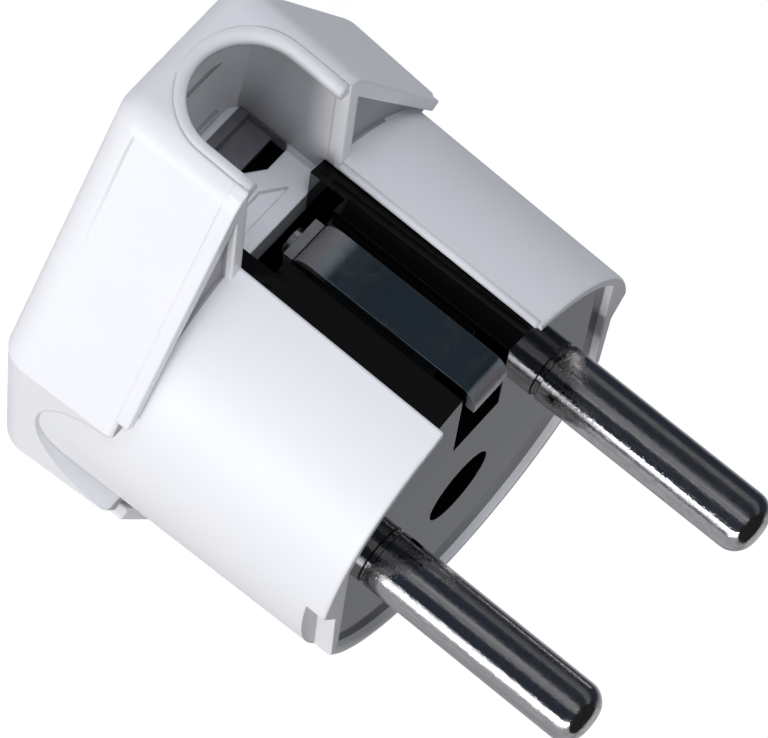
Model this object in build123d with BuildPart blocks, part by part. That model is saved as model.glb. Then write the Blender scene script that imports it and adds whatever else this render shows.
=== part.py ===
from build123d import *
import os

# Earthed two-pin plug adapter with a three-hole outlet in its rear face
# X runs from the line pin to the neutral pin, Y towards the upper earth strip and Z along the pins
# The origin is the middle of the rear face, on which the adapter stands with its pins up

# Plug pins
pin_diameter = 4.8
pin_length = 19.0
pin_pitch = 19.0
pin_tip_round = 1.7
pin_collar_diameter = 6.4
pin_collar_height = 1.5
pin_tail_diameter = 3.0
pin_rivet_diameter = 4.0
pin_rivet_height = 0.5
pin_neck_diameter = 4.4
pin_neck_gap = 0.25

# Heights above the rear face
face_height = 29.0
rim_proud = 0.6
head_height = 10.6
cover_thickness = 2.4
floor_bottom = 6.7
floor_top = 8.7
carrier_bottom = 10.0

# Round tapered body
body_front_radius = 17.05
body_rear_radius = 17.7
body_start = 2.4
front_edge_round = 0.3

# Elongated hexagon of the head, half sizes at its front and rear edges
head_front_side = (17.7, 7.0)
head_front_end = (6.0, 29.3)
head_rear_side = (18.2, 7.4)
head_rear_end = (6.2, 29.8)
head_side_round = 2.8
head_end_round = 2.8
head_rear_round = 2.6
head_front_round = 0.5

# Slots for the earth strips and the notches that they end in
slot_width = 10.6
notch_bottom = 1.8
notch_inner_ys = {"top": 12.2, "bottom": 13.4}
notch_tops = {"top": 40.0, "bottom": 26.4}
notch_inner_round = 0.8
notch_outer_round = 5.2
ledge_ys = (15.0, 23.0)
ledge_half_x = 3.2
ledge_height = 0.3
ledge_thickness = 0.5

# Cross web between the slot and the notch, cranked towards the rear in its middle
crank_depth = 1.3
crank_inner_x = 1.6
crank_outer_x = 3.3
crank_step = 0.4
web_rib_ys = (10.8, 9.7)
web_rib_half_x = 2.7
web_rib_height = 0.7
web_rib_thickness = 0.45

# Scoops in the sides of the head, where the round body runs into them
scoop_half_y = 6.8
scoop_length = 6.6
scoop_inner_x = 14.5

# Guide recesses at the front of both sides, each ended by a slanted wall
guide_length = 1.6
guide_wall_outer = (16.9, 3.0)
guide_wall_inner = (15.35, 0.2)
guide_floor_end = (15.1, -8.4)

# Black pin carrier
carrier_radius = 16.2
carrier_half_x = 14.4
fit = 0.05
groove_width = 5.0
groove_floor_y = 14.9
recess_floor_y = 6.7
recess_depth = 3.0

# Fixing screw and nut
screw_x = -0.8
screw_y = -2.9
screw_hole_diameter = 6.3
screw_seat_height = 23.0
screw_head_diameter = 5.5
screw_head_height = 2.1
screw_diameter = 3.0
screw_drive_width = 0.9
screw_drive_depth = 1.2
screw_end_height = 3.0
nut_across_flats = 5.4
nut_thickness = 2.2
nut_top = 5.0

# Earth strips, bridge and rivets
strip_width = 3.5
strip_thickness = 0.8
strip_top_y = 15.75
strip_front_proud = 0.6
strip_lip_y = 13.4
strip_leg_y = 11.9
strip_rear_height = 13.1
strip_front_bend = 1.0
strip_rear_bend = 1.3
strip_end_gap = 0.3
bridge_thickness = 0.8
bridge_half_y = 14.6
bridge_boss_width = 7.4
rivet_y = 13.0
rivet_diameter = 1.6
rivet_head_diameter = 2.2
rivet_head_height = 0.6

# Outlet: two flat slots and a round earth hole
blade_pitch = 12.7
blade_thickness = 1.5
blade_y = 3.0
blade_slot_width = 2.2
line_slot_length = 6.9
neutral_slot_length = 8.4
earth_hole_drop = 11.9
earth_hole_diameter = 5.6
earth_sleeve_bore = 4.7
earth_sleeve_wall = 0.45
earth_sleeve_top = 19.2
earth_sleeve_slit = 0.7
earth_sleeve_slit_length = 9.0

# Blade contacts
leaf_thickness = 0.5
leaf_width = 4.8
leaf_bottom = 4.2
leaf_pinch_height = 8.0
leaf_pinch = 0.3
leaf_flare = 0.35
base_top = 19.6
base_thickness = 0.6
base_margin = 2.4
base_low_y = -2.2

# Contact holder and rear cover
plate_side = (14.2, 6.0)
plate_end = (10.2, 13.4)
plate_round = 1.5
holder_margin = 0.2
holder_high_y = 9.4
holder_low_y = -12.4
pocket_half_x = 5.3
pocket_floor = 3.2
post_diameter = 3.6
post_offset = 0.8
cover_screw_x = 10.8
cover_screw_y = -5.5
cover_screw_diameter = 2.0
cover_screw_head = 3.8
cover_screw_length = 6.2
cover_screw_drive = 0.6
entry_chamfer = 0.4

# Sizes that follow from those above
front_height = face_height + rim_proud
pin_x = pin_pitch / 2
base_outer_x = pin_x + base_margin
post_x = pin_x + post_offset
holder_half_x = post_x + post_diameter / 2 + holder_margin
tip_height = face_height + pin_length
collar_top = base_top + pin_collar_height
neck_top = face_height + pin_neck_gap
tail_bottom = base_top - base_thickness - pin_rivet_height
blade_x = blade_pitch / 2
earth_y = blade_y - earth_hole_drop
sleeve_diameter = earth_sleeve_bore + 2 * earth_sleeve_wall
strip_middle_y = strip_top_y - strip_thickness / 2
strip_front_height = face_height + strip_front_proud - strip_thickness / 2
strip_back_height = strip_rear_height + strip_thickness / 2
bend_inside = strip_rear_bend - strip_thickness / 2
bridge_bottom = strip_rear_height - bridge_thickness
big = 3 * carrier_radius

sides = {"line": -1, "neutral": 1}
ends = {"top": 1, "bottom": -1}
slot_lengths = {"line": line_slot_length, "neutral": neutral_slot_length}

os.makedirs("parts", exist_ok=True)


def save(builder, name):
    builder.part.label = name
    export_step(builder.part, f"parts/{name}.step")


def mirrored_points(side, end):
    """Corners of a six- or eight-sided outline from its corners in the first quadrant."""
    x1, y1 = side
    x2, y2 = end
    return [(x1, y1), (x2, y2), (-x2, y2), (-x1, y1), (-x1, -y1), (-x2, -y2), (x2, -y2), (x1, -y1)]


def rounded_outline(plane, side, end, side_round, end_round, grow=0.0):
    """The outline through the mirrored corners, with its corners rounded."""
    with BuildSketch(plane) as outline:
        with BuildLine():
            Polyline(*mirrored_points(side, end), close=True)
        make_face()
        if grow:
            offset(amount=grow, kind=Kind.INTERSECTION)
        corners = outline.vertices().group_by(Axis.Y)
        fillet(corners[0] + corners[-1], end_round)
        fillet(corners[1] + corners[-2], side_round)
    return outline.sketch


def plate_outline(height, grow):
    """The eight-sided outline shared by the rear opening, its cover and the contact holder."""
    return rounded_outline(Plane.XY.offset(height), plate_side, plate_end, plate_round, plate_round, grow)


def carrier_outline(height, grow):
    """The flat-sided circle shared by the pin carrier and its bore."""
    with BuildSketch(Plane.XY.offset(height)) as outline:
        Circle(carrier_radius + grow)
        Rectangle(2 * (carrier_half_x + grow), big, mode=Mode.INTERSECT)
    return outline.sketch


def box_between(low, high, mode=Mode.SUBTRACT):
    """A box between two corners, added to or cut from the part being built."""
    size = [b - a for a, b in zip(low, high)]
    middle = [(a + b) / 2 for a, b in zip(low, high)]
    with Locations(tuple(middle)):
        Box(*size, mode=mode)


def crank_points(height):
    """Outline in X and Z of the crank that a face of the cross web at this height has in its middle."""
    return [
        (-crank_outer_x, height),
        (-crank_inner_x, height - crank_depth),
        (crank_inner_x, height - crank_depth),
        (crank_outer_x, height),
    ]


def make_housing():
    rear_head = rounded_outline(Plane.XY, head_rear_side, head_rear_end, head_side_round, head_end_round)
    front_plane = Plane.XY.offset(head_height)
    front_head = rounded_outline(front_plane, head_front_side, head_front_end, head_side_round, head_end_round)
    bore = carrier_outline(carrier_bottom, 2 * fit)
    rear_opening = plate_outline(0, fit)

    with BuildPart() as housing:
        loft([rear_head, front_head])
        fillet(housing.edges().group_by(Axis.Z)[0], head_rear_round)
        fillet(housing.edges().group_by(Axis.Z)[-1], head_front_round)

        # Scoops in both sides of the head
        for side in sides.values():
            with BuildSketch(Plane.YZ.offset(side * scoop_inner_x)):
                with Locations((0, head_height)):
                    Ellipse(scoop_half_y, scoop_length)
            extrude(amount=side * big, mode=Mode.SUBTRACT)

        # Round body, which runs on into the head
        with Locations((0, 0, body_start)):
            Cone(
                body_rear_radius,
                body_front_radius,
                front_height - body_start,
                align=(Align.CENTER, Align.CENTER, Align.MIN),
            )
        fillet(housing.edges().group_by(Axis.Z)[-1], front_edge_round)

        # Bore for the pin carrier, the window behind it and the rear opening
        extrude(bore, amount=big, mode=Mode.SUBTRACT)
        extrude(rear_opening, amount=floor_bottom, mode=Mode.SUBTRACT)
        box_between(
            (-holder_half_x - fit, holder_low_y - fit, floor_bottom),
            (holder_half_x + fit, holder_high_y + fit, carrier_bottom),
        )

        # Slots along the body that run on into round-ended notches in the head
        for name, direction in ends.items():
            inner_y = notch_inner_ys[name]
            slot_y = sorted((direction * inner_y, direction * big))
            box_between(
                (-slot_width / 2, slot_y[0], notch_bottom + notch_outer_round),
                (slot_width / 2, slot_y[1], notch_tops[name]),
            )
            for y, corner in ((inner_y, notch_inner_round), (head_rear_end[1], notch_outer_round)):
                with BuildSketch(Plane.XZ.offset(-direction * y)):
                    with Locations((0, notch_bottom + slot_width / 2)):
                        RectangleRounded(slot_width, slot_width, corner)
            loft(mode=Mode.SUBTRACT)

            # Ledges on the end wall of the notch
            for y in ledge_ys:
                ledge_y = sorted((direction * (y - ledge_thickness / 2), direction * (y + ledge_thickness / 2)))
                box_between(
                    (-ledge_half_x, ledge_y[0], notch_bottom - ledge_height),
                    (ledge_half_x, ledge_y[1], notch_bottom + ledge_height),
                    Mode.ADD,
                )

        # Crank of the upper cross web, its stepped front and its ribs
        web_y = holder_high_y + fit
        web_end_y = notch_inner_ys["top"]
        with BuildSketch(Plane.XZ.offset(-web_y)):
            with BuildLine():
                Polyline(*crank_points(floor_bottom), close=True)
            make_face()
        extrude(amount=web_y - web_end_y)
        with BuildSketch(Plane.XZ.offset(-web_end_y)):
            with BuildLine():
                Polyline(*crank_points(floor_top), close=True)
            make_face()
        extrude(amount=crank_step, mode=Mode.SUBTRACT)
        for y in web_rib_ys:
            box_between(
                (-web_rib_half_x, y - web_rib_thickness / 2, floor_top - crank_step),
                (web_rib_half_x, y + web_rib_thickness / 2, floor_top + web_rib_height),
                Mode.ADD,
            )

        # Guide recesses
        for side in sides.values():
            with BuildSketch(Plane.XY.offset(front_height)):
                with BuildLine():
                    Polyline(
                        (side * big, guide_wall_outer[1]),
                        (side * guide_wall_outer[0], guide_wall_outer[1]),
                        (side * guide_wall_inner[0], guide_wall_inner[1]),
                        (side * guide_floor_end[0], guide_floor_end[1]),
                        (side * big, guide_floor_end[1]),
                        close=True,
                    )
                make_face()
            extrude(amount=-guide_length, mode=Mode.SUBTRACT)
    save(housing, "housing")


def make_rear_cover():
    outline = plate_outline(0, -fit)
    with BuildPart() as cover:
        extrude(outline, amount=cover_thickness)
        for name, side in sides.items():
            with BuildSketch():
                with Locations((side * blade_x, blade_y)):
                    RectangleRounded(blade_slot_width, slot_lengths[name], blade_slot_width / 4)
            extrude(amount=cover_thickness, mode=Mode.SUBTRACT)
        with Locations((0, earth_y, 0)):
            Hole(earth_hole_diameter / 2)
        entries = cover.faces().sort_by(Axis.Z)[0].inner_wires()
        chamfer(entries.edges(), entry_chamfer)
        with Locations(Plane.XY.rotated((180, 0, 0))):
            with Locations((cover_screw_x, -cover_screw_y), (-cover_screw_x, -cover_screw_y)):
                CounterSinkHole(cover_screw_diameter / 2 + fit, cover_screw_head / 2 + fit)
    save(cover, "rear_cover")


def make_pin_carrier():
    outline = carrier_outline(carrier_bottom, 0)
    with BuildPart() as carrier:
        extrude(outline, amount=face_height - carrier_bottom)
        for side in sides.values():
            # Pin bore with its counterbore, and the pocket of the blade contact
            with Locations(Location((side * pin_x, 0, base_top))):
                Cylinder(
                    pin_neck_diameter / 2 + fit,
                    big,
                    align=(Align.CENTER, Align.CENTER, Align.MIN),
                    mode=Mode.SUBTRACT,
                )
                Cylinder(
                    pin_collar_diameter / 2 + fit,
                    pin_collar_height + fit,
                    align=(Align.CENTER, Align.CENTER, Align.MIN),
                    mode=Mode.SUBTRACT,
                )
            inner_x = blade_x - blade_thickness / 2 - leaf_thickness - leaf_flare
            pocket_x = sorted((side * inner_x, side * (base_outer_x + 4 * fit)))
            box_between(
                (pocket_x[0], base_low_y - 4 * fit, carrier_bottom),
                (pocket_x[1], blade_y + leaf_width / 2 + 4 * fit, base_top + fit),
            )

        # Recess below the lip of the upper earth strip
        box_between(
            (-groove_width / 2, recess_floor_y, face_height - recess_depth),
            (groove_width / 2, big, face_height),
        )
        for name, direction in ends.items():
            # Groove for the earth strip and the slot for its rear leg
            groove_y = sorted((direction * groove_floor_y, direction * big))
            box_between(
                (-groove_width / 2, groove_y[0], strip_rear_height - fit),
                (groove_width / 2, groove_y[1], notch_tops[name]),
            )
            leg_y = sorted((direction * (strip_leg_y - fit), direction * big))
            box_between(
                (-strip_width / 2 - fit, leg_y[0], strip_rear_height - fit),
                (strip_width / 2 + fit, leg_y[1], strip_rear_height + strip_thickness + fit),
            )
            bend_y = sorted((direction * (strip_top_y - strip_thickness - bend_inside), direction * big))
            box_between(
                (-strip_width / 2 - fit, bend_y[0], strip_rear_height),
                (strip_width / 2 + fit, bend_y[1], strip_rear_height + strip_thickness + bend_inside),
            )
            with Locations((0, direction * rivet_y, strip_rear_height)):
                Cylinder(
                    rivet_head_diameter / 2 + fit,
                    strip_thickness + rivet_head_height + fit,
                    align=(Align.CENTER, Align.CENTER, Align.MIN),
                    mode=Mode.SUBTRACT,
                )

        # Rear channel for the earth bridge and the bore of the earth sleeve
        box_between(
            (-bridge_boss_width / 2 - fit, -big, carrier_bottom),
            (bridge_boss_width / 2 + fit, big, strip_rear_height + fit),
        )
        with Locations((0, earth_y, carrier_bottom)):
            Cylinder(
                sleeve_diameter / 2 + fit,
                earth_sleeve_top + fit - carrier_bottom,
                align=(Align.CENTER, Align.CENTER, Align.MIN),
                mode=Mode.SUBTRACT,
            )

        # Stepped hole for the fixing screw
        with Locations(Location((screw_x, screw_y, face_height))):
            CounterBoreHole(
                screw_diameter / 2 + 2 * fit,
                screw_hole_diameter / 2,
                face_height - screw_seat_height,
            )
    save(carrier, "pin_carrier")


def make_contact_holder():
    flange = plate_outline(cover_thickness, -2 * fit)
    with BuildPart() as holder:
        extrude(flange, amount=floor_bottom - cover_thickness)
        box_between(
            (-holder_half_x, holder_low_y, floor_bottom),
            (holder_half_x, holder_high_y, carrier_bottom),
            Mode.ADD,
        )
        for side in sides.values():
            # Post that backs the pin, pocket of the blade contact and the hole of the cover screw
            with Locations((side * post_x, 0, carrier_bottom)):
                Cylinder(
                    post_diameter / 2,
                    tail_bottom - carrier_bottom,
                    align=(Align.CENTER, Align.CENTER, Align.MIN),
                )
            with Locations((side * blade_x, blade_y, (cover_thickness + carrier_bottom) / 2)):
                Box(
                    blade_thickness + 2 * (leaf_thickness + leaf_flare),
                    neutral_slot_length + 4 * fit,
                    carrier_bottom - cover_thickness,
                    mode=Mode.SUBTRACT,
                )
            with Locations((side * cover_screw_x, cover_screw_y, cover_thickness)):
                Cylinder(
                    cover_screw_diameter / 2 + fit,
                    cover_screw_length - cover_thickness + 4 * fit,
                    align=(Align.CENTER, Align.CENTER, Align.MIN),
                    mode=Mode.SUBTRACT,
                )
        with Locations((0, earth_y, cover_thickness)):
            Cylinder(
                sleeve_diameter / 2 + fit,
                carrier_bottom,
                align=(Align.CENTER, Align.CENTER, Align.MIN),
                mode=Mode.SUBTRACT,
            )

        # Pockets behind the cranked web and behind the notches
        box_between(
            (-pocket_half_x, holder_high_y - fit, floor_bottom - crank_depth - fit),
            (pocket_half_x, big, floor_bottom + fit),
        )
        for name, direction in ends.items():
            pocket_y = sorted((direction * notch_inner_ys[name], direction * big))
            box_between((-pocket_half_x, pocket_y[0], pocket_floor), (pocket_half_x, pocket_y[1], floor_bottom + fit))

        # Hole of the fixing screw and the pocket of its nut
        with Locations((screw_x, screw_y, cover_thickness)):
            Cylinder(
                screw_diameter / 2 + 2 * fit,
                carrier_bottom,
                align=(Align.CENTER, Align.CENTER, Align.MIN),
                mode=Mode.SUBTRACT,
            )
        with BuildSketch(Plane.XY.offset(cover_thickness)):
            with Locations((screw_x, screw_y)):
                RegularPolygon(nut_across_flats / 2 + fit, 6, major_radius=False)
        extrude(amount=nut_top - cover_thickness, mode=Mode.SUBTRACT)
    save(holder, "contact_holder")


def make_pin(name, side):
    radius = pin_diameter / 2
    with BuildPart() as pin:
        with BuildSketch(Plane.XZ.shift_origin((side * pin_x, 0, 0))):
            with BuildLine() as half:
                Polyline(
                    (0, tail_bottom),
                    (pin_rivet_diameter / 2, tail_bottom),
                    (pin_rivet_diameter / 2, base_top - base_thickness),
                    (pin_tail_diameter / 2, base_top - base_thickness),
                    (pin_tail_diameter / 2, base_top),
                    (pin_collar_diameter / 2, base_top),
                    (pin_collar_diameter / 2, collar_top),
                    (pin_neck_diameter / 2, collar_top),
                    (pin_neck_diameter / 2, neck_top),
                    (radius, neck_top),
                    (radius, tip_height),
                    (0, tip_height),
                    close=True,
                )
            tip_face = make_face()
            tip = tip_face.vertices().sort_by(Axis.Z)[-2:].sort_by(Axis.X)[-1]
            fillet(tip, pin_tip_round)
        revolve(axis=Axis((side * pin_x, 0, 0), (0, 0, 1)))
    save(pin, f"pin_{name}")


def make_blade_contact(name, side):
    leaf_x = blade_thickness / 2 + leaf_thickness / 2
    with BuildPart() as contact:
        # Base plate, riveted to the tail of the pin
        inner_x = blade_x - leaf_x - leaf_thickness / 2
        base_x = sorted((side * inner_x, side * base_outer_x))
        box_between(
            (base_x[0], base_low_y, base_top - base_thickness),
            (base_x[1], blade_y + leaf_width / 2, base_top),
            Mode.ADD,
        )
        with Locations((side * pin_x, 0, base_top)):
            Hole(pin_tail_diameter / 2)

        # Two sprung leaves that pinch the blade near their flared ends
        with BuildSketch(Plane.XZ.offset(-blade_y + leaf_width / 2)):
            for leaf in (-1, 1):
                with BuildLine():
                    Polyline(
                        (side * blade_x + leaf * leaf_x, base_top - base_thickness / 2),
                        (side * blade_x + leaf * (leaf_x - leaf_pinch), leaf_pinch_height),
                        (side * blade_x + leaf * (leaf_x + leaf_flare - leaf_pinch), leaf_bottom),
                    )
                trace(line_width=leaf_thickness)
        extrude(amount=-leaf_width)
    save(contact, f"contact_{name}")


def make_earth_sleeve():
    with BuildPart() as sleeve:
        with Locations((0, earth_y, cover_thickness + 2 * fit)):
            Cylinder(
                sleeve_diameter / 2,
                earth_sleeve_top - cover_thickness - 2 * fit,
                align=(Align.CENTER, Align.CENTER, Align.MIN),
            )
            Cylinder(
                earth_sleeve_bore / 2,
                earth_sleeve_top - cover_thickness - earth_sleeve_wall,
                align=(Align.CENTER, Align.CENTER, Align.MIN),
                mode=Mode.SUBTRACT,
            )
        with Locations((0, earth_y, cover_thickness)):
            Box(
                sleeve_diameter * 2,
                earth_sleeve_slit,
                earth_sleeve_slit_length,
                align=(Align.CENTER, Align.CENTER, Align.MIN),
                mode=Mode.SUBTRACT,
            )
    save(sleeve, "earth_sleeve")


def make_earth_strip(name, direction):
    # The upper strip ends in a lip over the face, the lower one straight inside its closed groove
    lips = {"top": [(strip_lip_y, strip_front_height), (strip_middle_y, strip_front_height)]}
    front = lips.get(name, [(strip_middle_y, notch_tops["bottom"] - strip_end_gap)])
    rear = [(strip_middle_y, strip_back_height), (strip_leg_y, strip_back_height)]
    with BuildPart() as strip:
        with BuildSketch(Plane.YZ.offset(-strip_width / 2)):
            with BuildLine():
                FilletPolyline(
                    *[(direction * y, z) for y, z in front + rear],
                    radius=[strip_front_bend, strip_rear_bend] if name in lips else [strip_rear_bend],
                )
            trace(line_width=strip_thickness)
        extrude(amount=strip_width)
        with Locations((0, direction * rivet_y, strip_back_height)):
            Cylinder(rivet_diameter / 2 + fit, strip_thickness, mode=Mode.SUBTRACT)
    save(strip, f"earth_strip_{name}")


def make_earth_bridge():
    with BuildPart() as bridge:
        with BuildSketch(Plane.XY.offset(bridge_bottom)):
            Rectangle(strip_width, 2 * bridge_half_y)
            with Locations((0, earth_y)):
                Circle(bridge_boss_width / 2)
            with Locations((screw_x / 2, screw_y)):
                Circle(bridge_boss_width / 2 + screw_x / 2)
            with Locations((0, earth_y)):
                Circle(sleeve_diameter / 2 + fit / 2, mode=Mode.SUBTRACT)
            with Locations((screw_x, screw_y)):
                Circle(screw_diameter / 2 + 4 * fit, mode=Mode.SUBTRACT)
            with Locations((0, rivet_y), (0, -rivet_y)):
                Circle(rivet_diameter / 2 + fit, mode=Mode.SUBTRACT)
        extrude(amount=bridge_thickness)
    save(bridge, "earth_bridge")


def make_rivet(name, direction):
    with BuildPart() as rivet:
        with Locations((0, direction * rivet_y, bridge_bottom)):
            Cylinder(
                rivet_diameter / 2,
                bridge_thickness + strip_thickness,
                align=(Align.CENTER, Align.CENTER, Align.MIN),
            )
            Cylinder(
                rivet_head_diameter / 2,
                rivet_head_height,
                align=(Align.CENTER, Align.CENTER, Align.MAX),
            )
        with Locations((0, direction * rivet_y, strip_rear_height + strip_thickness)):
            Cylinder(
                rivet_head_diameter / 2,
                rivet_head_height,
                align=(Align.CENTER, Align.CENTER, Align.MIN),
            )
    save(rivet, f"earth_rivet_{name}")


def make_fixing_screw():
    with BuildPart() as screw:
        with Locations((screw_x, screw_y, screw_seat_height)):
            Cylinder(
                screw_head_diameter / 2,
                screw_head_height,
                align=(Align.CENTER, Align.CENTER, Align.MIN),
            )
            chamfer(screw.edges().group_by(Axis.Z)[-1], screw_head_height / 5)
            Cylinder(
                screw_diameter / 2,
                screw_seat_height - screw_end_height,
                align=(Align.CENTER, Align.CENTER, Align.MAX),
            )
        with Locations((screw_x, screw_y, screw_seat_height + screw_head_height)):
            for turn in (0, 90):
                Box(
                    screw_head_diameter * 0.7,
                    screw_drive_width,
                    2 * screw_drive_depth,
                    rotation=(0, 0, turn + 20),
                    mode=Mode.SUBTRACT,
                )
    save(screw, "fixing_screw")


def make_nut():
    with BuildPart() as nut:
        with BuildSketch(Plane.XY.offset(nut_top - nut_thickness)):
            with Locations((screw_x, screw_y)):
                RegularPolygon(nut_across_flats / 2, 6, major_radius=False)
                Circle(screw_diameter / 2 + fit, mode=Mode.SUBTRACT)
        extrude(amount=nut_thickness)
    save(nut, "fixing_nut")


def make_cover_screw(name, side):
    with BuildPart() as screw:
        with Locations((side * cover_screw_x, cover_screw_y, 0)):
            Cone(
                cover_screw_head / 2,
                cover_screw_diameter / 2,
                (cover_screw_head - cover_screw_diameter) / 2,
                align=(Align.CENTER, Align.CENTER, Align.MIN),
            )
            Cylinder(
                cover_screw_diameter / 2,
                cover_screw_length,
                align=(Align.CENTER, Align.CENTER, Align.MIN),
            )
            Box(
                cover_screw_head,
                cover_screw_drive,
                2 * cover_screw_drive,
                rotation=(0, 0, side * 35),
                mode=Mode.SUBTRACT,
            )
    save(screw, f"cover_screw_{name}")


make_housing()
make_rear_cover()
make_pin_carrier()
make_contact_holder()
make_earth_sleeve()
make_earth_bridge()
make_fixing_screw()
make_nut()
for name, side in sides.items():
    make_pin(name, side)
    make_blade_contact(name, side)
    make_cover_screw(name, side)
for name, direction in ends.items():
    make_earth_strip(name, direction)
    make_rivet(name, direction)
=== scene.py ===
import math

import bmesh
import bpy
from mathutils import Matrix, Vector


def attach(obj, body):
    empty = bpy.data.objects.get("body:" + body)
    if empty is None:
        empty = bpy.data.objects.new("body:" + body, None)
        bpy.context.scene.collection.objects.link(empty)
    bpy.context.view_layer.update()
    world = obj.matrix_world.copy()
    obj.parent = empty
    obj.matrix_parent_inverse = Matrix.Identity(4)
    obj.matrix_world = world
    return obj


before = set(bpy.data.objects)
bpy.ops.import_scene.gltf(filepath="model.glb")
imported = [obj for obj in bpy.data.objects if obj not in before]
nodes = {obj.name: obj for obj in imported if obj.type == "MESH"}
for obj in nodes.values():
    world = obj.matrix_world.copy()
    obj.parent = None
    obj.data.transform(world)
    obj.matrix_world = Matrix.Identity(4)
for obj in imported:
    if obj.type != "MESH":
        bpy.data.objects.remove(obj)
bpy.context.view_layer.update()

MM = 0.001

# Camera at the photograph's viewing angle, rolled so that the pins point down to the right
CAMERA_TARGET = Vector((0.749, 2.205, 20.362)) * MM
CAMERA_BACK = Vector((-0.337, 0.919, 0.205))
CAMERA_UP = Vector((0.691, 0.389, -0.613))
CAMERA_DISTANCE = 0.430
CAMERA_LENS = 284.0
SENSOR_WIDTH = 36.0


def make_camera():
    back = CAMERA_BACK.normalized()
    right = CAMERA_UP.cross(back).normalized()
    up = back.cross(right)
    data = bpy.data.cameras.new("camera")
    data.lens = CAMERA_LENS
    data.sensor_width = SENSOR_WIDTH
    data.clip_start = 0.01
    data.clip_end = 20
    camera = bpy.data.objects.new("camera", data)
    bpy.context.scene.collection.objects.link(camera)
    axes = Matrix((right, up, back)).transposed()
    camera.matrix_world = Matrix.Translation(CAMERA_TARGET + back * CAMERA_DISTANCE) @ axes.to_4x4()
    bpy.context.scene.camera = camera


# Node helpers
class Nodes:
    """Adds shader nodes to one material or world and links them."""

    def __init__(self, owner):
        owner.use_nodes = True
        self.tree = owner.node_tree
        self.tree.nodes.clear()

    def add(self, kind, inputs=None, **settings):
        node = self.tree.nodes.new(kind)
        for name, value in settings.items():
            setattr(node, name, value)
        for name, value in (inputs or {}).items():
            self.set(node, name, value)
        return node

    def set(self, node, name, value):
        socket = node.inputs[name]
        if isinstance(value, bpy.types.NodeSocket):
            self.tree.links.new(value, socket)
        else:
            socket.default_value = value

    def math(self, operation, *values):
        node = self.add("ShaderNodeMath", operation=operation)
        for index, value in enumerate(values):
            self.set(node, index, value)
        return node.outputs[0]

    def noise(self, vector, scale, detail=2.0, roughness=0.5):
        inputs = {"Vector": vector, "Scale": scale, "Detail": detail, "Roughness": roughness}
        return self.add("ShaderNodeTexNoise", inputs).outputs["Fac"]

    def stretched(self, scale):
        """Object coordinates in millimetres, scaled differently along each axis."""
        place = self.add("ShaderNodeTexCoord").outputs["Object"]
        return self.add("ShaderNodeMapping", {"Vector": place, "Scale": scale}).outputs[0]

    def place(self):
        """Object coordinates in metres, one output for each axis."""
        coordinates = self.add("ShaderNodeTexCoord").outputs["Object"]
        return self.add("ShaderNodeSeparateXYZ", {0: coordinates}).outputs

    def all_of(self, *factors):
        """The product of several masks."""
        product = factors[0]
        for factor in factors[1:]:
            product = self.math("MULTIPLY", product, factor)
        return product

    def ramp(self, value, stops):
        """A grey ramp through (position, level) stops."""
        node = self.add("ShaderNodeValToRGB", {"Fac": value})
        elements = node.color_ramp.elements
        while len(elements) < len(stops):
            elements.new(0.5)
        for element, (position, level) in zip(elements, stops):
            element.position = position
            element.color = (level, level, level, 1)
        return node.outputs[0]

    def between(self, value, low, high, start=0.0, end=1.0):
        inputs = {"Value": value, "From Min": low, "From Max": high, "To Min": start, "To Max": end}
        return self.add("ShaderNodeMapRange", inputs).outputs["Result"]

    def bump(self, height, strength, distance, normal=None):
        inputs = {"Height": height, "Strength": strength, "Distance": distance}
        if normal is not None:
            inputs["Normal"] = normal
        return self.add("ShaderNodeBump", inputs).outputs[0]

    def soft_edges(self, radius):
        return self.add("ShaderNodeBevel", {"Radius": radius}, samples=8).outputs[0]

    def mix(self, factor, low, high):
        """Mixes two colours."""
        node = self.add("ShaderNodeMix", data_type="RGBA")
        self.set(node, 0, factor)
        self.set(node, 6, low)
        self.set(node, 7, high)
        return node.outputs[2]

    def output(self, surface):
        for_world = isinstance(self.tree.id_data, bpy.types.World)
        kind = "ShaderNodeOutputWorld" if for_world else "ShaderNodeOutputMaterial"
        self.add(kind, {"Surface": surface})


def grey(level, tint=(1, 1, 1)):
    return tuple(level * t for t in tint) + (1,)


# Studio: white to the camera all round, a plain light level, and cards that only glossy surfaces see
WORLD_LIGHT = 0.33
WORLD_TINT = (0.96, 0.99, 1.05)
RING_RADIUS = 0.6
RING_LOW = -0.35
RING_HIGH = 0.6
RING_LEVEL = 0.034
RING_TINT = (0.78, 1.0, 1.4)
ROOF_LEVEL = 0.02
RING_STEPS = 96
CARD_STEPS = 24
CARD_INSET = 0.02
CARD_TINT = (0.97, 0.99, 1.05)
# Azimuth of the middle, half width and soft edge in degrees, then the level
STUDIO_CARDS = {
    "side_strip": (177, 19, 4, 2.7),
    "side_wall": (-138, 42, 8, 0.42),
    "front_wall": (-66, 48, 34, 0.46),
    "back_strip": (100, 21, 14, 0.30),
    "far_card": (33, 19, 14, 0.13),
}


def make_world():
    world = bpy.data.worlds.new("studio")
    bpy.context.scene.world = world
    n = Nodes(world)
    path = n.add("ShaderNodeLightPath").outputs
    seen = n.math("MAXIMUM", path["Is Camera Ray"], path["Is Glossy Ray"])
    seen = n.math("MAXIMUM", seen, path["Is Transmission Ray"])
    plain = n.add("ShaderNodeBackground", {"Color": grey(1, WORLD_TINT), "Strength": WORLD_LIGHT})
    white = n.add("ShaderNodeBackground", {"Color": grey(1), "Strength": 1.0})
    mixed = n.add("ShaderNodeMixShader", {0: seen, 1: plain.outputs[0], 2: white.outputs[0]})
    n.output(mixed.outputs[0])


def only_for_gloss(obj):
    for kind in ("camera", "diffuse", "transmission", "volume_scatter", "shadow"):
        setattr(obj, "visible_" + kind, False)


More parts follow.
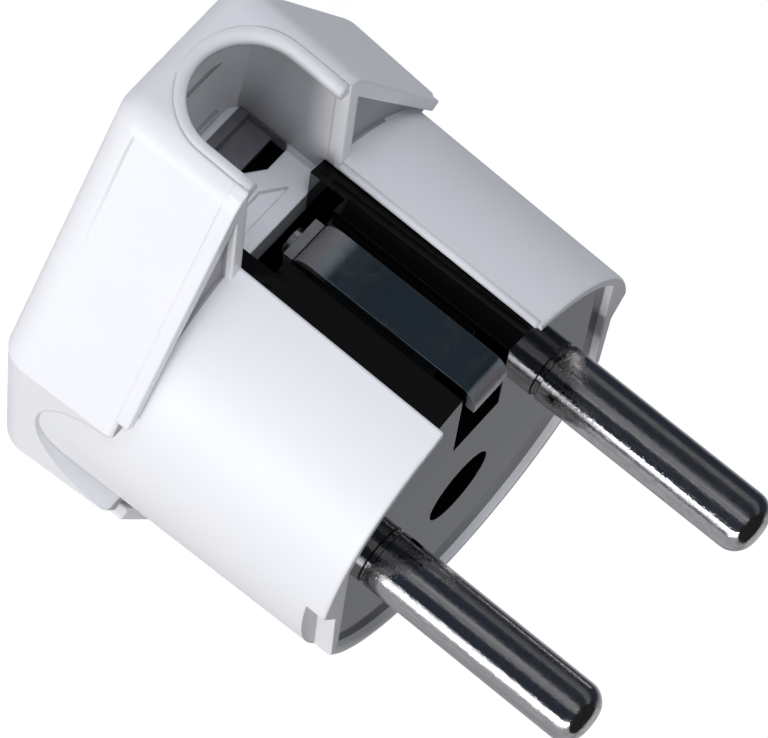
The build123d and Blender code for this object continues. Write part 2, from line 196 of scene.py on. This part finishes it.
def make_arc(name, radius, azimuth, half_width, steps):
    """A standing cylindrical panel round the Z axis, with U across it."""
    rows = []
    for index in range(steps + 1):
        angle = math.radians(azimuth + half_width * (2 * index / steps - 1))
        x, y = radius * math.cos(angle), radius * math.sin(angle)
        rows += [(x, y, RING_LOW), (x, y, RING_HIGH)]
    faces = [(2 * i, 2 * i + 2, 2 * i + 3, 2 * i + 1) for i in range(steps)]
    mesh = bpy.data.meshes.new(name)
    mesh.from_pydata(rows, [], faces)
    across = mesh.attributes.new("across", "FLOAT", "POINT")
    for index in range(steps + 1):
        share = half_width * (2 * index / steps - 1)
        across.data[2 * index].value = share
        across.data[2 * index + 1].value = share
    obj = bpy.data.objects.new(name, mesh)
    bpy.context.scene.collection.objects.link(obj)
    only_for_gloss(obj)
    return obj


def make_square(name, half, z):
    """A level square of the studio, centred on the Z axis."""
    mesh = bpy.data.meshes.new(name)
    corners = [(-half, -half, z), (half, -half, z), (half, half, z), (-half, half, z)]
    mesh.from_pydata(corners, [], [(0, 1, 2, 3)])
    square = bpy.data.objects.new(name, mesh)
    bpy.context.scene.collection.objects.link(square)
    return square


def glowing(name, level, colour):
    material = bpy.data.materials.new(name)
    n = Nodes(material)
    n.output(n.add("ShaderNodeEmission", {"Color": colour, "Strength": level}).outputs[0])
    return material


def make_studio():
    ring = make_arc("studio_ring", RING_RADIUS, 0, 180, RING_STEPS)
    ring.data.materials.append(glowing("ring_dark", RING_LEVEL, grey(1, RING_TINT)))
    roof = make_square("studio_roof", RING_RADIUS, RING_HIGH)
    only_for_gloss(roof)
    roof.data.materials.append(glowing("roof_dark", ROOF_LEVEL, grey(1)))
    for index, (name, (azimuth, half_width, soft, level)) in enumerate(STUDIO_CARDS.items()):
        radius = RING_RADIUS - CARD_INSET * (index + 1)
        card = make_arc(name, radius, azimuth, half_width, CARD_STEPS)
        material = bpy.data.materials.new(name)
        n = Nodes(material)
        across = n.add("ShaderNodeAttribute", attribute_name="across").outputs["Fac"]
        edge = n.math("SUBTRACT", half_width, n.math("ABSOLUTE", across))
        inputs = {"Value": edge, "From Min": 0.0, "From Max": float(soft)}
        cover = n.add("ShaderNodeMapRange", inputs, interpolation_type="SMOOTHSTEP").outputs["Result"]
        glow = n.add("ShaderNodeEmission", {"Color": grey(1, CARD_TINT), "Strength": level}).outputs[0]
        clear = n.add("ShaderNodeBsdfTransparent").outputs[0]
        n.output(n.add("ShaderNodeMixShader", {0: cover, 1: clear, 2: glow}).outputs[0])
        card.data.materials.append(material)


FLOOR_HALF = 1.5
FLOOR_GLOW = 0.86
# The floor's own colour for light that bounces off it, and for what the camera sees
FLOOR_BOUNCE = 0.8
FLOOR_DIFFUSE = 0.40


def make_floor():
    floor = make_square("floor", FLOOR_HALF, 0)
    floor.visible_glossy = False
    floor.visible_shadow = False
    material = bpy.data.materials.new("floor_white")
    n = Nodes(material)
    path = n.add("ShaderNodeLightPath").outputs
    seen = n.math("MAXIMUM", path["Is Camera Ray"], path["Is Transmission Ray"])
    glow = n.add("ShaderNodeEmission", {"Strength": n.math("MULTIPLY", seen, FLOOR_GLOW)})
    level = n.between(seen, 0, 1, FLOOR_BOUNCE, FLOOR_DIFFUSE)
    colour = n.add("ShaderNodeCombineColor", {"Red": level, "Green": level, "Blue": level})
    matt = n.add("ShaderNodeBsdfDiffuse", {"Color": colour.outputs[0]})
    n.output(n.add("ShaderNodeAddShader", {0: glow.outputs[0], 1: matt.outputs[0]}).outputs[0])
    floor.data.materials.append(material)


LAMP_DISTANCE = 0.8
# Azimuth and elevation in degrees, size in metres, power in watts, tint
LAMPS = {
    "key": (177, 6, 0.30, 3.85, (1.0, 0.985, 0.99)),
    "front": (92, 4, 0.4, 2.5, (0.93, 0.97, 1.06)),
}


def make_lamp(name, azimuth, elevation, size, power, tint):
    data = bpy.data.lights.new(name, "AREA")
    data.energy = power
    data.size = size
    data.color = tint
    lamp = bpy.data.objects.new(name, data)
    bpy.context.scene.collection.objects.link(lamp)
    a, e = math.radians(azimuth), math.radians(elevation)
    away = Vector((math.cos(a) * math.cos(e), math.sin(a) * math.cos(e), math.sin(e)))
    lamp.location = CAMERA_TARGET + away * LAMP_DISTANCE
    lamp.rotation_euler = away.to_track_quat("Z", "Y").to_euler()
    lamp.visible_glossy = False
    lamp.visible_camera = False


# White trim on the housing, in millimetres. First the lips that round the mouths of the notches
LIP_INNER = 4.35
LIP_ROUND = 0.65
LIP_DEPTH = 1.1
# The lip's outer side as (distance past the notch's edge, height on the end face), sunk in the housing
LIP_OUTER = ((0.4, -LIP_DEPTH), (0.4, -0.4), (0.05, -0.03))
LIP_END_GAP = 0.1
NOTCH_HALF = 5.3
NOTCH_CENTRE = 7.0
HEAD_FRONT = 10.6
HEAD_END_REAR = 29.8
HEAD_END_FRONT = 29.3
HEAD_REAR_ROUND = 2.6
HEAD_END_ROUND = 2.8
ROUND_START_REAR = 4.52
ROUND_START_FRONT = 4.32
BOX_END = 29.67
# Thin round along the right edge of the upper slot, as (y, z) at its rear and front
EDGE_RADIUS = 0.32
BODY_EDGE = ((16.42, 11.4), (15.98, 29.3))
# Raised collars along the front edges of the head, with the outline of one of them
COLLAR = (
    (5.28, 16.3), (5.28, 29.13), (5.6, 28.99), (6.1, 28.66), (6.79, 27.79),
    (16.95, 8.43), (16.2, 7.9), (6.4, 25.7), (6.4, 16.0),
)
COLLAR_FOOT = 10.2
COLLAR_TOP = 11.4
COLLAR_BEVEL = 0.08
SHARPEST_TURN = 0.3
SIGN_LETTERS = {-1: "n", 1: "p"}


def end_face(x, z):
    """Distance of the head's end face from the axis, in millimetres."""
    share = z / HEAD_FRONT
    flat = HEAD_END_REAR + (HEAD_END_FRONT - HEAD_END_REAR) * share
    over = max(0.0, abs(x) - ROUND_START_REAR - (ROUND_START_FRONT - ROUND_START_REAR) * share)
    flat -= HEAD_END_ROUND - math.sqrt(HEAD_END_ROUND ** 2 - over ** 2)
    r = HEAD_REAR_ROUND
    return flat if z >= r else flat - r + math.sqrt(r * r - (r - z) ** 2)


def solid_piece(name, rings, tree, flat=()):
    """A closed tube through rings of points in millimetres, flat along some sides."""
    count = len(rings[0])
    points = [tuple(v * MM for v in p) for ring in rings for p in ring]
    faces = []
    for i in range(len(rings) - 1):
        for j in range(count):
            k = (j + 1) % count
            faces.append((i * count + j, i * count + k, (i + 1) * count + k, (i + 1) * count + j))
    faces.append(tuple(reversed(range(count))))
    faces.append(tuple(range((len(rings) - 1) * count, len(rings) * count)))
    mesh = bpy.data.meshes.new(name)
    mesh.from_pydata(points, [], faces)
    for index, polygon in enumerate(mesh.polygons[:-2]):
        polygon.use_smooth = index % count not in flat
    work = bmesh.new()
    work.from_mesh(mesh)
    bmesh.ops.recalc_face_normals(work, faces=work.faces)
    work.to_mesh(mesh)
    work.free()
    obj = bpy.data.objects.new(name, mesh)
    bpy.context.scene.collection.objects.link(obj)
    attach(obj, "root")
    mesh.materials.append(owner_of(tree))
    return obj


def make_notch_lip(name, direction, tree):
    """Quarter-round lip that runs round the open end of a notch."""
    arc = [math.radians(a) for a in range(180, 361, 5)]
    lip_end = COLLAR_TOP - LIP_END_GAP - NOTCH_CENTRE
    halfway = (HEAD_FRONT - NOTCH_CENTRE) / 2
    path = [(-1.0, 0.0, lip_end), (-1.0, 0.0, halfway)]
    path += [(math.cos(a), math.sin(a), 0.0) for a in arc]
    path += [(1.0, 0.0, halfway), (1.0, 0.0, lip_end)]
    turns = [math.radians(a) for a in range(0, 91, 15)]
    profile = [(NOTCH_HALF + past, height) for past, height in LIP_OUTER]
    profile += [(LIP_INNER + LIP_ROUND * (1 - math.sin(t)), -LIP_ROUND * (1 - math.cos(t))) for t in turns]
    profile += [(LIP_INNER, -LIP_DEPTH)]
    rings = []
    for across, down, up in path:
        ring = []
        for radius, depth in profile:
            x, z = across * radius, NOTCH_CENTRE + down * radius + up
            ring.append((x, direction * min(end_face(x, z) + depth, BOX_END), z))
        rings.append(ring)
    solid_piece(name, rings, tree, flat=(0, 1, len(profile) - 1))


def make_edge(name, start, end, tree):
    """A thin round edge between two points."""
    start, end = Vector(start), Vector(end)
    along = (end - start).normalized()
    side = along.orthogonal().normalized()
    other = along.cross(side)
    turns = [math.radians(a) for a in range(0, 360, 20)]
    circle = [EDGE_RADIUS * (side * math.cos(t) + other * math.sin(t)) for t in turns]
    rings = [[tuple(centre + offset) for offset in circle] for centre in (start, end)]
    solid_piece(name, rings, tree)


def inset(points, amount):
    """A closed outline moved inwards by an amount."""
    area = sum(a[0] * b[1] - b[0] * a[1] for a, b in zip(points, points[1:] + points[:1]))
    turn = 1 if area > 0 else -1
    moved = []
    for before, here, after in zip(points[-1:] + points[:-1], points, points[1:] + points[:1]):
        first = (Vector(here) - Vector(before)).normalized()
        second = (Vector(after) - Vector(here)).normalized()
        normal = Vector((-first.y - second.y, first.x + second.x)).normalized() * turn
        scale = amount / max(SHARPEST_TURN, normal.dot(Vector((-first.y, first.x)) * turn))
        moved.append(tuple(Vector(here) + normal * scale))
    return moved


def make_collar(name, side, direction, tree):
    """A low flat-sided ridge that makes the front of the head read as recessed."""
    outline = [(side * x, direction * y) for x, y in COLLAR]
    rings = [[(x, y, z) for x, y in outline] for z in (COLLAR_FOOT, COLLAR_TOP - COLLAR_BEVEL)]
    rings.append([(x, y, COLLAR_TOP) for x, y in inset(outline, COLLAR_BEVEL)])
    piece = solid_piece(name, rings, tree)
    for polygon in piece.data.polygons:
        polygon.use_smooth = False


def owner_of(tree):
    """The material that a node tree belongs to."""
    return next(m for m in bpy.data.materials if m.node_tree == tree)


# Materials
WHITE_COLOUR = (0.86, 0.86, 0.872, 1)
WHITE_PATCHES = grey(0.84, (0.985, 0.995, 1.02))
# Painted shade: the dark grey mixed into the white plastic in the notches, at the head's front and on the rim
PAINTED_SHADE_COLOUR = (0.34, 0.335, 0.35, 1)
BLACK_COLOUR = (0.0012, 0.0012, 0.0015, 1)
# Painted light: the lighter grey put on the black plastic inside the notches
PAINTED_LIGHT_COLOUR = (0.20, 0.195, 0.21, 1)
NICKEL_COLOUR = (0.74, 0.72, 0.71, 1)
NICKEL_DULL = (0.42, 0.41, 0.41, 1)
STRIP_COLOUR = (0.50, 0.62, 0.66, 1)
DULL_END_COLOUR = (0.17, 0.16, 0.165, 1)
STEEL_COLOUR = (0.56, 0.57, 0.58, 1)
BRASS_COLOUR = (0.72, 0.53, 0.26, 1)

# Radius in metres over which each material's edges look rounded
WHITE_EDGES = 0.0003
BLACK_EDGES = 0.00010
NICKEL_EDGES = 0.00012
METAL_EDGES = 0.00010

# Where shade is painted into the white plastic's colour, in metres: beyond the inner walls of the notches,
# at the head's front and on the rim
NOTCH_WALL_Y = 0.0134
HEAD_FRONT_BAND = (0.0102, 0.01085)
RIM_LOW = 0.0265
RIM_SHADE = 0.55
# Z of the normal, above which a face isn't a wall, and above which it faces the front
WALL_TILT = 0.6
FRONT_TILT = 0.9
OCCLUSION_REACH = 0.009
OCCLUSION_OPEN, OCCLUSION_CLOSED = 0.80, 0.35
# Where light is painted into the black plastic's colour, as a lighter grey: inside the notches
RECESS_Y = 0.0118
RECESS_TOP = 0.0100
# Heights over which the ends of the earth strips turn dull
STRIP_FRONT_DULL = (0.0287, 0.0291)
STRIP_REAR_DULL = (0.0162, 0.0148)


def white_plastic():
    """Moulded white shell with a satin gloss and a faint eggshell texture, and shade painted into its colour in
    the notches, at the head's front and on the rim.
    """
    n = Nodes(bpy.data.materials.new("white_plastic"))
    fine = n.noise(n.stretched((1, 1, 1)), 9000, 2.0, 0.6)
    broad = n.noise(n.stretched((1, 1, 1)), 160, 2.0, 0.5)
    colour = n.mix(broad, WHITE_COLOUR, WHITE_PATCHES)
    place = n.place()
    tilt = n.add("ShaderNodeSeparateXYZ", {0: n.add("ShaderNodeNewGeometry").outputs["Normal"]}).outputs["Z"]
    # Painted shade: occlusion in the notches, and position on the head's front and the rim, darken the colour
    beyond = n.math("GREATER_THAN", n.math("ABSOLUTE", place["Y"]), NOTCH_WALL_Y)
    front = n.math("GREATER_THAN", place["Z"], HEAD_FRONT_BAND[0])
    below = n.math("LESS_THAN", place["Z"], HEAD_FRONT_BAND[1])
    wall = n.math("MAXIMUM", front, n.math("LESS_THAN", tilt, WALL_TILT))
    facing_front = n.math("GREATER_THAN", tilt, FRONT_TILT)
    occlusion = n.add("ShaderNodeAmbientOcclusion", {"Distance": OCCLUSION_REACH}, samples=12, only_local=False)
    closed = n.between(occlusion.outputs["AO"], OCCLUSION_OPEN, OCCLUSION_CLOSED)
    notches = n.all_of(closed, beyond, wall, below)
    painted_front_shade = n.all_of(front, below, facing_front)
    rim = n.all_of(n.math("GREATER_THAN", place["Z"], RIM_LOW), facing_front, RIM_SHADE)
    shade = n.math("MAXIMUM", n.math("MAXIMUM", notches, painted_front_shade), rim)
    colour = n.mix(shade, colour, PAINTED_SHADE_COLOUR)
    rough = n.between(fine, 0.3, 0.7, 0.30, 0.42)
    normal = n.bump(fine, 0.05, 0.00002, n.soft_edges(WHITE_EDGES))
    inputs = {"Base Color": colour, "Roughness": rough, "IOR": 1.46, "Normal": normal}
    n.output(n.add("ShaderNodeBsdfPrincipled", inputs).outputs[0])
    return n.tree


def black_plastic():
    """Polished black moulding with light smears in its gloss, and painted light in its colour inside the
    notches.
    """
    n = Nodes(bpy.data.materials.new("black_plastic"))
    smear = n.noise(n.stretched((1, 1, 1)), 350, 3.0, 0.6)
    rough = n.between(smear, 0.35, 0.7, 0.03, 0.09)
    normal = n.bump(smear, 0.03, 0.00004, n.soft_edges(BLACK_EDGES))
    place = n.place()
    # Painted light: clouds of lighter grey on the black inside the notches
    beyond = n.math("GREATER_THAN", n.math("ABSOLUTE", place["Y"]), RECESS_Y)
    inside = n.math("LESS_THAN", place["Z"], RECESS_TOP)
    painted_light_cloud = n.between(smear, 0.35, 0.65, 0.7, 1.0)
    colour = n.mix(n.all_of(beyond, inside, painted_light_cloud), BLACK_COLOUR, PAINTED_LIGHT_COLOUR)
    inputs = {"Base Color": colour, "Roughness": rough, "IOR": 1.3, "Normal": normal}
    n.output(n.add("ShaderNodeBsdfPrincipled", inputs).outputs[0])
    return n.tree


def nickel():
    """Nickel-plated pin with draw lines along it, rubbed spots and small pits."""
    n = Nodes(bpy.data.materials.new("nickel"))
    lines = n.noise(n.stretched((1, 1, 0.02)), 2600, 3.0, 0.6)
    spots = n.noise(n.stretched((1, 1, 0.6)), 1700, 3.0, 0.65)
    pits = n.noise(n.stretched((1, 1, 0.8)), 2600, 2.0, 0.7)
    dull = n.ramp(spots, [(0.42, 0.0), (0.58, 1.0)])
    long_noise = n.noise(n.stretched((1, 1, 0.012)), 1500, 2.0, 0.7)
    streaks = n.ramp(long_noise, [(0.44, 0.0), (0.60, 1.0)])
    rubbed = n.math("MAXIMUM", n.math("MULTIPLY", dull, 0.35), n.math("MULTIPLY", streaks, 0.6))
    colour = n.mix(rubbed, NICKEL_COLOUR, NICKEL_DULL)
    rough = n.math("ADD", n.between(spots, 0.35, 0.65, 0.04, 0.12), n.math("MULTIPLY", streaks, 0.14))
    pitted = n.ramp(pits, [(0.5, 0.0), (0.62, 1.0)])
    height = n.math("ADD", n.math("MULTIPLY", lines, 0.7), n.math("MULTIPLY", pitted, 0.7))
    normal = n.bump(height, 0.17, 0.00003, n.soft_edges(NICKEL_EDGES))
    inputs = {"Base Color": colour, "Metallic": 1.0, "Roughness": rough, "Normal": normal}
    n.output(n.add("ShaderNodeBsdfPrincipled", inputs).outputs[0])
    return n.tree


def metal(name, colour, stretch, rough_low, rough_high, shade=0.72, dull_ends=False):
    """A rolled or turned metal with fine lines along one axis, and dull ends where asked."""
    n = Nodes(bpy.data.materials.new(name))
    lines = n.noise(n.stretched(stretch), 2200, 3.0, 0.6)
    patches = n.noise(n.stretched((1, 1, 1)), 420, 3.0, 0.6)
    tone = n.mix(n.between(patches, 0.3, 0.7), colour, tuple(c * shade for c in colour[:3]) + (1,))
    rough = n.between(patches, 0.3, 0.7, rough_low, rough_high)
    normal = n.bump(lines, 0.2, 0.00002, n.soft_edges(METAL_EDGES))
    inputs = {"Base Color": tone, "Metallic": 1.0, "Roughness": rough, "Normal": normal}
    if dull_ends:
        height = n.place()["Z"]
        ends = n.math("MAXIMUM", n.between(height, *STRIP_FRONT_DULL), n.between(height, *STRIP_REAR_DULL))
        ends = n.math("MULTIPLY", ends, n.between(patches, 0.3, 0.6, 0.75, 1.0))
        inputs["Base Color"] = n.mix(ends, tone, DULL_END_COLOUR)
        inputs["Metallic"] = n.between(ends, 0.0, 1.0, 1.0, 0.1)
    n.output(n.add("ShaderNodeBsdfPrincipled", inputs).outputs[0])
    return n.tree


def dress(tree, *names):
    """Gives nodes of the part one material."""
    material = owner_of(tree)
    for name in names:
        slots = nodes[name].data.materials
        slots.clear()
        slots.append(material)


make_camera()
make_world()
make_studio()
make_floor()
for lamp_name, values in LAMPS.items():
    make_lamp(lamp_name, *values)

white = white_plastic()
dress(white, "housing", "rear_cover")
for end, direction in (("top", 1), ("bottom", -1)):
    make_notch_lip("notch_lip_" + end, direction, white)
make_edge("slot_edge", *((NOTCH_HALF, y, z) for y, z in BODY_EDGE), white)
for side in (-1, 1):
    for direction in (-1, 1):
        make_collar("collar_" + SIGN_LETTERS[side] + SIGN_LETTERS[direction], side, direction, white)
dress(black_plastic(), "pin_carrier", "contact_holder")
dress(nickel(), "pin_line", "pin_neutral")
strip_metal = metal("strip_metal", STRIP_COLOUR, (0.4, 1, 1), 0.10, 0.32, shade=0.45, dull_ends=True)
dress(strip_metal, "earth_strip_top", "earth_strip_bottom", "earth_bridge")
steel = metal("steel", STEEL_COLOUR, (1, 1, 1), 0.25, 0.4)
dress(steel, "earth_rivet_top", "earth_rivet_bottom", "fixing_screw", "fixing_nut")
dress(steel, "cover_screw_line", "cover_screw_neutral")
brass = metal("brass", BRASS_COLOUR, (1, 1, 0.1), 0.2, 0.38)
dress(brass, "earth_sleeve", "contact_line", "contact_neutral")

bpy.context.scene.view_settings.view_transform = "Standard"
